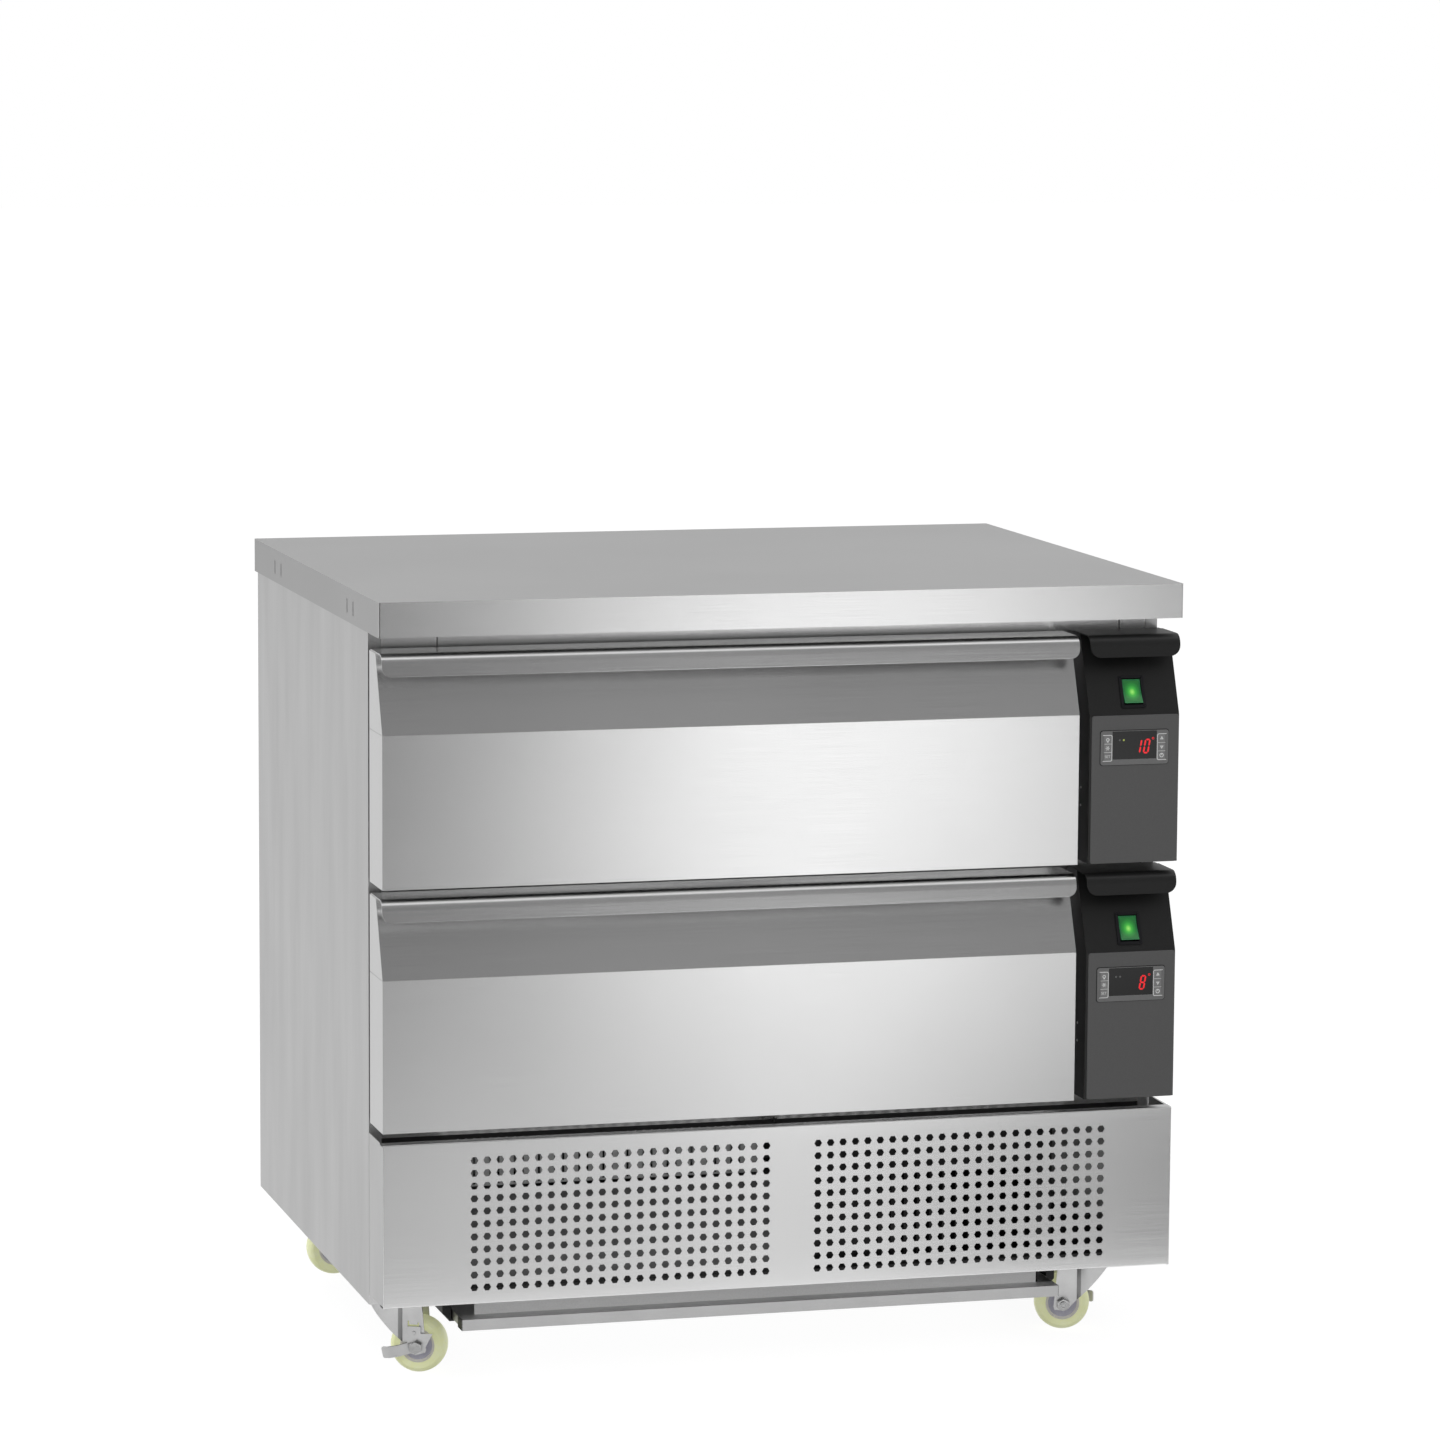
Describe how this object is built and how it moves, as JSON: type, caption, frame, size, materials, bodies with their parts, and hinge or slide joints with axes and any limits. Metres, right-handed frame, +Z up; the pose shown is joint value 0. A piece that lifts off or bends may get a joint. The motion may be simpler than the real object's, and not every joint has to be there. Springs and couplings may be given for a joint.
{
  "type": "refrigerated chef base",
  "caption": "Low refrigerated counter with stacked pan drawers, folded lip handles, side control boxes, a perforated lower panel and braked swivel castors.",
  "frame": {"origin": "on the floor under the middle of the cabinet", "axes": "+X to the right seen from the front, +Y towards the back, +Z up"},
  "size_m": [0.905, 0.7, 0.87],
  "materials": {
    "stainless": "satin",
    "galvanised": "matte",
    "black_metal": "matte",
    "black_housing": "satin",
    "foam": "matte",
    "gasket": "matte",
    "controller": "satin",
    "key": "satin",
    "green_lens": "gloss",
    "tread": "satin",
    "fan": "matte"
  },
  "bodies": {
    "root": {"worktop": "stainless", "outer_casing": "stainless", "insulated_body": "foam", "front_frame": "stainless", "grille_panel": "stainless", "chassis": "galvanised", "compressor_tray": "galvanised", "compressor": "black_metal", "condenser": "black_metal", "upper_runner_frame": "galvanised", "upper_evaporator": "galvanised", "upper_control_box": "black_housing", "upper_controller": "controller", "lower_runner_frame": "galvanised", "lower_evaporator": "galvanised", "lower_control_box": "black_housing", "lower_controller": "controller", "front_left_castor_plate": "stainless", "rear_left_castor_plate": "stainless", "front_right_castor_plate": "stainless", "rear_right_castor_plate": "stainless"},
    "fan": {"fan_wheel": "fan"},
    "upper_drawer": {"upper_drawer_front": "stainless", "upper_handle": "stainless", "upper_drawer_core": "foam", "upper_gasket": "gasket", "upper_pan_frame": "stainless"},
    "upper_middle_runner_left": {"upper_middle_runner_left": "galvanised"},
    "upper_middle_runner_right": {"upper_middle_runner_right": "galvanised"},
    "upper_rocker": {"upper_rocker": "green_lens"},
    "upper_key_left_1": {"upper_key_left_1": "key"},
    "upper_key_left_2": {"upper_key_left_2": "key"},
    "upper_key_left_3": {"upper_key_left_3": "key"},
    "upper_key_right_1": {"upper_key_right_1": "key"},
    "upper_key_right_2": {"upper_key_right_2": "key"},
    "upper_key_right_3": {"upper_key_right_3": "key"},
    "lower_drawer": {"lower_drawer_front": "stainless", "lower_handle": "stainless", "lower_drawer_core": "foam", "lower_gasket": "gasket", "lower_pan_frame": "stainless"},
    "lower_middle_runner_left": {"lower_middle_runner_left": "galvanised"},
    "lower_middle_runner_right": {"lower_middle_runner_right": "galvanised"},
    "lower_rocker": {"lower_rocker": "green_lens"},
    "lower_key_left_1": {"lower_key_left_1": "key"},
    "lower_key_left_2": {"lower_key_left_2": "key"},
    "lower_key_left_3": {"lower_key_left_3": "key"},
    "lower_key_right_1": {"lower_key_right_1": "key"},
    "lower_key_right_2": {"lower_key_right_2": "key"},
    "lower_key_right_3": {"lower_key_right_3": "key"},
    "front_left_castor_fork": {"front_left_castor_fork": "stainless"},
    "front_left_castor_wheel": {"front_left_castor_wheel": "tread"},
    "front_left_castor_brake": {"front_left_castor_brake": "stainless"},
    "rear_left_castor_fork": {"rear_left_castor_fork": "stainless"},
    "rear_left_castor_wheel": {"rear_left_castor_wheel": "tread"},
    "front_right_castor_fork": {"front_right_castor_fork": "stainless"},
    "front_right_castor_wheel": {"front_right_castor_wheel": "tread"},
    "front_right_castor_brake": {"front_right_castor_brake": "stainless"},
    "rear_right_castor_fork": {"rear_right_castor_fork": "stainless"},
    "rear_right_castor_wheel": {"rear_right_castor_wheel": "tread"}
  },
  "joints": [
    {"name": "fan_spin", "type": "hinge", "parent": "root", "child": "fan", "pos_m": [0.19, -0.189, 0.1366], "axis": [0, 1, 0], "continuous": true},
    {"name": "upper_drawer_slide", "type": "slide", "parent": "root", "child": "upper_drawer", "axis": [0, -1, 0], "range_m": [0, 0.5]},
    {"name": "upper_middle_runner_left_slide", "type": "slide", "parent": "root", "child": "upper_middle_runner_left", "axis": [0, -1, 0], "range_m": [0, 0.25]},
    {"name": "upper_middle_runner_right_slide", "type": "slide", "parent": "root", "child": "upper_middle_runner_right", "axis": [0, -1, 0], "range_m": [0, 0.25]},
    {"name": "upper_rocker_tilt", "type": "hinge", "parent": "root", "child": "upper_rocker", "pos_m": [0.39825, -0.33809, 0.75], "axis": [1, 0, 0], "range_deg": [0, 15]},
    {"name": "upper_key_left_1_press", "type": "slide", "parent": "root", "child": "upper_key_left_1", "axis": [0, 1, 0], "range_m": [0, 0.0005], "stiffness_N_per_m": 400},
    {"name": "upper_key_left_2_press", "type": "slide", "parent": "root", "child": "upper_key_left_2", "axis": [0, 1, 0], "range_m": [0, 0.0005], "stiffness_N_per_m": 400},
    {"name": "upper_key_left_3_press", "type": "slide", "parent": "root", "child": "upper_key_left_3", "axis": [0, 1, 0], "range_m": [0, 0.0005], "stiffness_N_per_m": 400},
    {"name": "upper_key_right_1_press", "type": "slide", "parent": "root", "child": "upper_key_right_1", "axis": [0, 1, 0], "range_m": [0, 0.0005], "stiffness_N_per_m": 400},
    {"name": "upper_key_right_2_press", "type": "slide", "parent": "root", "child": "upper_key_right_2", "axis": [0, 1, 0], "range_m": [0, 0.0005], "stiffness_N_per_m": 400},
    {"name": "upper_key_right_3_press", "type": "slide", "parent": "root", "child": "upper_key_right_3", "axis": [0, 1, 0], "range_m": [0, 0.0005], "stiffness_N_per_m": 400},
    {"name": "lower_drawer_slide", "type": "slide", "parent": "root", "child": "lower_drawer", "axis": [0, -1, 0], "range_m": [0, 0.5]},
    {"name": "lower_middle_runner_left_slide", "type": "slide", "parent": "root", "child": "lower_middle_runner_left", "axis": [0, -1, 0], "range_m": [0, 0.25]},
    {"name": "lower_middle_runner_right_slide", "type": "slide", "parent": "root", "child": "lower_middle_runner_right", "axis": [0, -1, 0], "range_m": [0, 0.25]},
    {"name": "lower_rocker_tilt", "type": "hinge", "parent": "root", "child": "lower_rocker", "pos_m": [0.39825, -0.33809, 0.4855], "axis": [1, 0, 0], "range_deg": [0, 15]},
    {"name": "lower_key_left_1_press", "type": "slide", "parent": "root", "child": "lower_key_left_1", "axis": [0, 1, 0], "range_m": [0, 0.0005], "stiffness_N_per_m": 400},
    {"name": "lower_key_left_2_press", "type": "slide", "parent": "root", "child": "lower_key_left_2", "axis": [0, 1, 0], "range_m": [0, 0.0005], "stiffness_N_per_m": 400},
    {"name": "lower_key_left_3_press", "type": "slide", "parent": "root", "child": "lower_key_left_3", "axis": [0, 1, 0], "range_m": [0, 0.0005], "stiffness_N_per_m": 400},
    {"name": "lower_key_right_1_press", "type": "slide", "parent": "root", "child": "lower_key_right_1", "axis": [0, 1, 0], "range_m": [0, 0.0005], "stiffness_N_per_m": 400},
    {"name": "lower_key_right_2_press", "type": "slide", "parent": "root", "child": "lower_key_right_2", "axis": [0, 1, 0], "range_m": [0, 0.0005], "stiffness_N_per_m": 400},
    {"name": "lower_key_right_3_press", "type": "slide", "parent": "root", "child": "lower_key_right_3", "axis": [0, 1, 0], "range_m": [0, 0.0005], "stiffness_N_per_m": 400},
    {"name": "front_left_castor_swivel", "type": "hinge", "parent": "root", "child": "front_left_castor_fork", "pos_m": [-0.4075, -0.2, 0.0835], "axis": [0, 0, 1], "continuous": true},
    {"name": "front_left_castor_roll", "type": "hinge", "parent": "front_left_castor_fork", "child": "front_left_castor_wheel", "pos_m": [-0.37827, -0.21302, 0.0315], "axis": [0.4067, 0.9135, 0], "continuous": true},
    {"name": "front_left_castor_brake_tilt", "type": "hinge", "parent": "front_left_castor_fork", "child": "front_left_castor_brake", "pos_m": [-0.38591, -0.23019, 0.0315], "axis": [0.4067, 0.9135, 0], "range_deg": [0, 24]},
    {"name": "rear_left_castor_swivel", "type": "hinge", "parent": "root", "child": "rear_left_castor_fork", "pos_m": [-0.4075, 0.276, 0.0835], "axis": [0, 0, 1], "continuous": true},
    {"name": "rear_left_castor_roll", "type": "hinge", "parent": "rear_left_castor_fork", "child": "rear_left_castor_wheel", "pos_m": [-0.3755, 0.276, 0.0315], "axis": [0, 1, 0], "continuous": true},
    {"name": "front_right_castor_swivel", "type": "hinge", "parent": "root", "child": "front_right_castor_fork", "pos_m": [0.4075, -0.2, 0.0835], "axis": [0, 0, 1], "continuous": true},
    {"name": "front_right_castor_roll", "type": "hinge", "parent": "front_right_castor_fork", "child": "front_right_castor_wheel", "pos_m": [0.37632, -0.1928, 0.0315], "axis": [-0.225, -0.9744, 0], "continuous": true},
    {"name": "front_right_castor_brake_tilt", "type": "hinge", "parent": "front_right_castor_fork", "child": "front_right_castor_brake", "pos_m": [0.38055, -0.17448, 0.0315], "axis": [-0.225, -0.9744, 0], "range_deg": [-12, 12]},
    {"name": "rear_right_castor_swivel", "type": "hinge", "parent": "root", "child": "rear_right_castor_fork", "pos_m": [0.4075, 0.276, 0.0835], "axis": [0, 0, 1], "continuous": true},
    {"name": "rear_right_castor_roll", "type": "hinge", "parent": "rear_right_castor_fork", "child": "rear_right_castor_wheel", "pos_m": [0.3755, 0.276, 0.0315], "axis": [0, -1, 0], "continuous": true}
  ],
  "couplings": [
    {"joint": "upper_middle_runner_left_slide", "follows": "upper_drawer_slide", "ratio": 0.5},
    {"joint": "upper_middle_runner_right_slide", "follows": "upper_drawer_slide", "ratio": 0.5},
    {"joint": "lower_middle_runner_left_slide", "follows": "lower_drawer_slide", "ratio": 0.5},
    {"joint": "lower_middle_runner_right_slide", "follows": "lower_drawer_slide", "ratio": 0.5}
  ]
}
